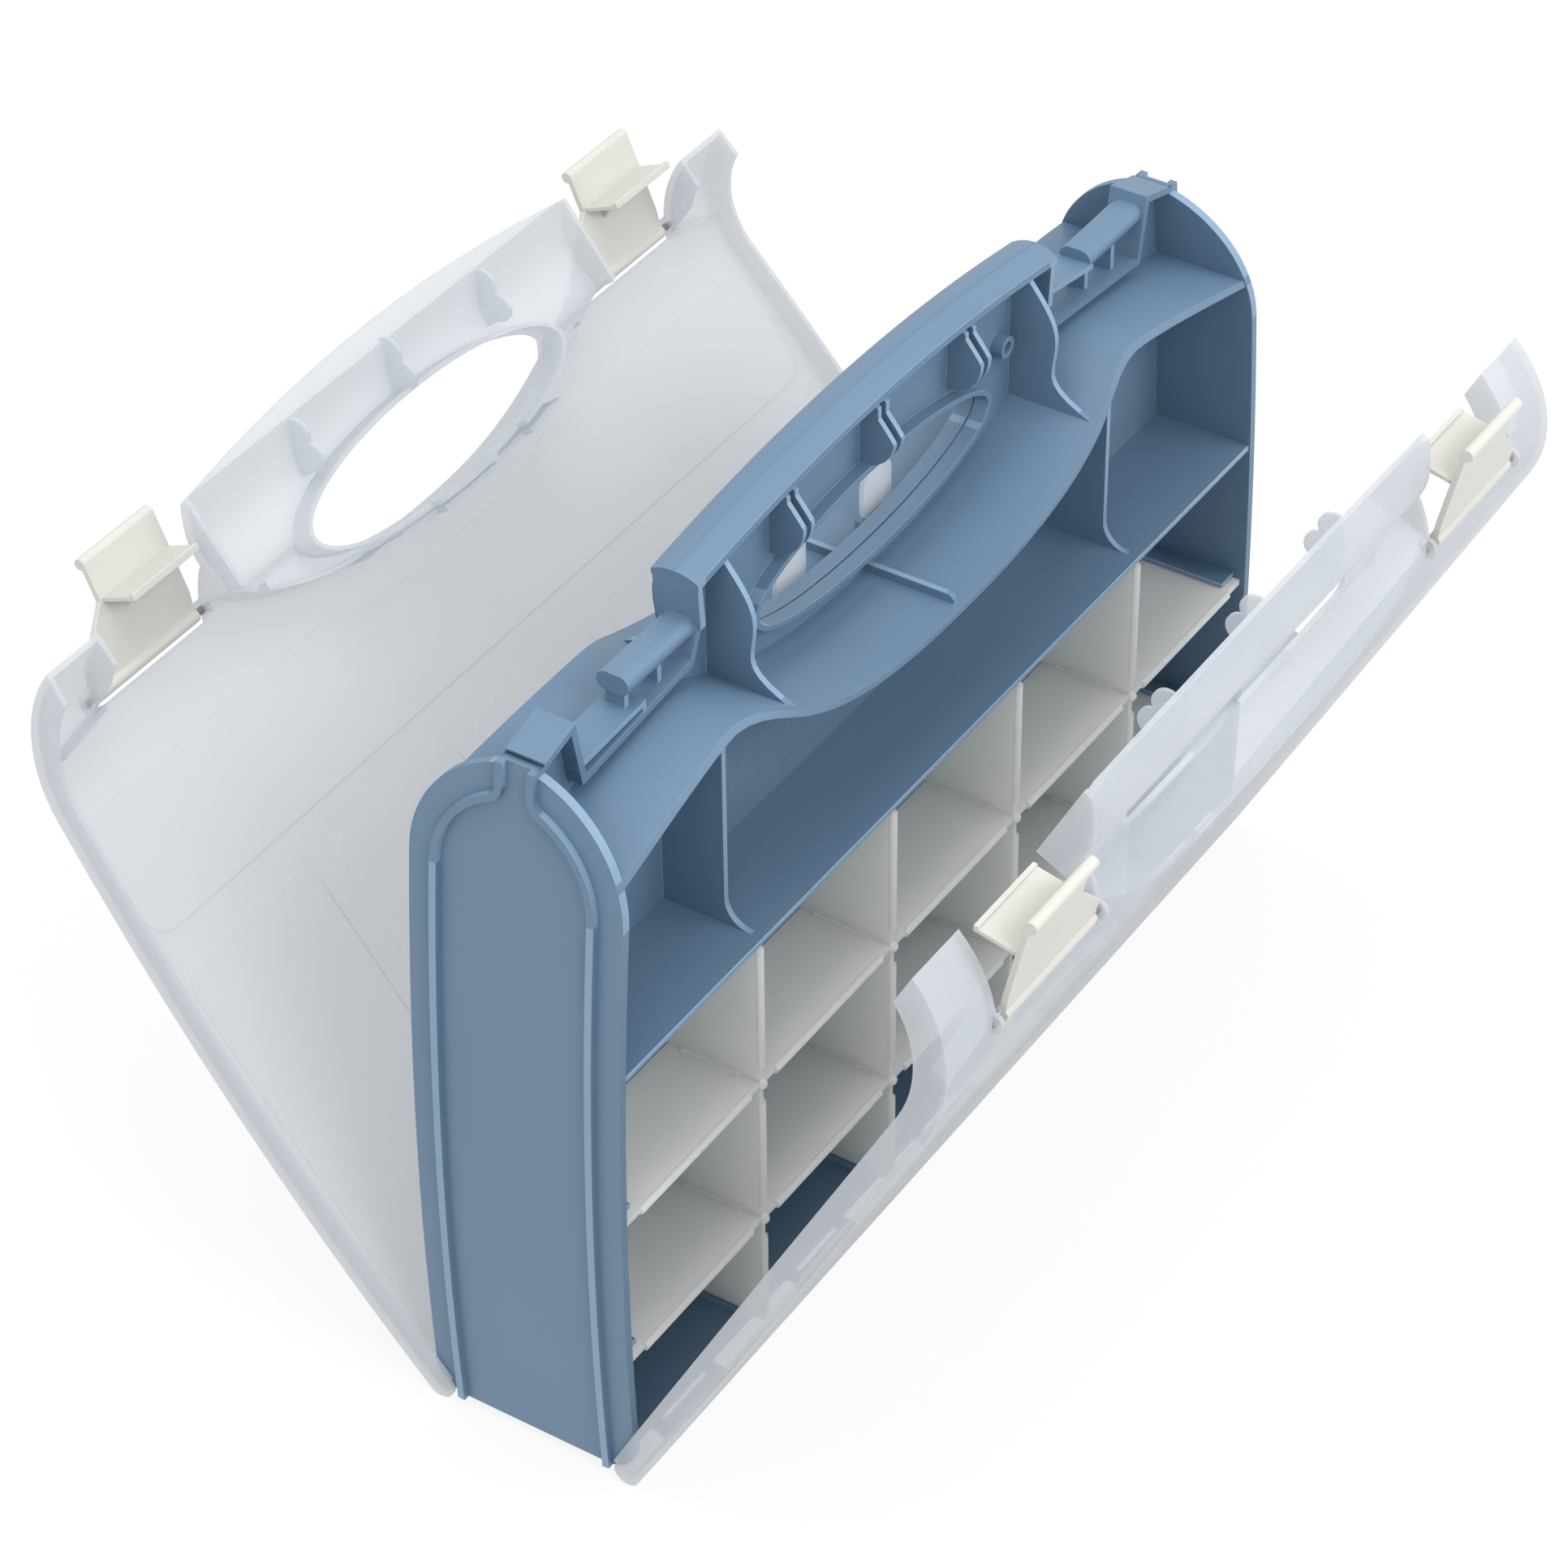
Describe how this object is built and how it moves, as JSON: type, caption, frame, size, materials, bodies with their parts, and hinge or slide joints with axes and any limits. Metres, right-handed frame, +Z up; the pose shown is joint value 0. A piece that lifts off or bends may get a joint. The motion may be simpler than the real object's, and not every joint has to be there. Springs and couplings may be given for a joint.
{
  "type": "double-sided compartment organizer",
  "caption": "Upright carrying case with a hinged clear lid on each side, a top handle, snap latches, removable dividers and wavy upper shelves.",
  "frame": {"origin": "middle of the foot rail, on the surface the case stands on", "axes": "+X along the length to the right as seen from the front, +Y to the back, +Z up"},
  "size_m": [0.3764, 0.3403, 0.28],
  "materials": {
    "body_blue": "smooth satin polypropylene",
    "lid_clear": "frosted translucent polypropylene",
    "latch_white": "smooth off-white plastic",
    "divider_white": "slightly translucent off-white polypropylene",
    "tab_clear": "clear plastic"
  },
  "bodies": {
    "case": {"end_wall_left": "body_blue", "end_wall_right": "body_blue", "floor": "body_blue", "lower_web": "body_blue", "straight_shelf": "body_blue", "upper_web": "body_blue", "arch_shelf": "body_blue", "handle": "body_blue", "pocket_left": "body_blue", "pocket_right": "body_blue", "row_divider_upper": "divider_white", "row_divider_lower": "divider_white", "front_column_1": "divider_white", "front_column_2": "divider_white", "front_column_3": "divider_white", "front_column_4": "divider_white", "back_column_1": "divider_white", "back_column_2": "divider_white", "back_column_3": "divider_white", "back_column_4": "divider_white", "clear_tab_left": "tab_clear", "clear_tab_right": "tab_clear"},
    "front_lid": {"front_lid": "lid_clear"},
    "back_lid": {"back_lid": "lid_clear"},
    "latch_front_left": {"latch_front_left": "latch_white"},
    "latch_front_right": {"latch_front_right": "latch_white"},
    "latch_back_left": {"latch_back_left": "latch_white"},
    "latch_back_right": {"latch_back_right": "latch_white"}
  },
  "joints": [
    {"name": "front_lid_hinge", "type": "hinge", "parent": "case", "child": "front_lid", "pos_m": [0, -0.0341, 0.005], "axis": [1, 0, 0], "range_deg": [-27.5, 57.5]},
    {"name": "back_lid_hinge", "type": "hinge", "parent": "case", "child": "back_lid", "pos_m": [0, 0.0341, 0.005], "axis": [-1, 0, 0], "range_deg": [-38, 47]},
    {"name": "latch_front_left_hinge", "type": "hinge", "parent": "front_lid", "child": "latch_front_left", "pos_m": [-0.1265, -0.13837, 0.21115], "axis": [1, 0, 0], "range_deg": [-22, 55]},
    {"name": "latch_front_right_hinge", "type": "hinge", "parent": "front_lid", "child": "latch_front_right", "pos_m": [0.1265, -0.13837, 0.21115], "axis": [1, 0, 0], "range_deg": [-22, 55]},
    {"name": "latch_back_left_hinge", "type": "hinge", "parent": "back_lid", "child": "latch_back_left", "pos_m": [-0.1265, 0.17419, 0.18869], "axis": [-1, 0, 0], "range_deg": [-22, 55]},
    {"name": "latch_back_right_hinge", "type": "hinge", "parent": "back_lid", "child": "latch_back_right", "pos_m": [0.1265, 0.17419, 0.18869], "axis": [-1, 0, 0], "range_deg": [-22, 55]}
  ]
}
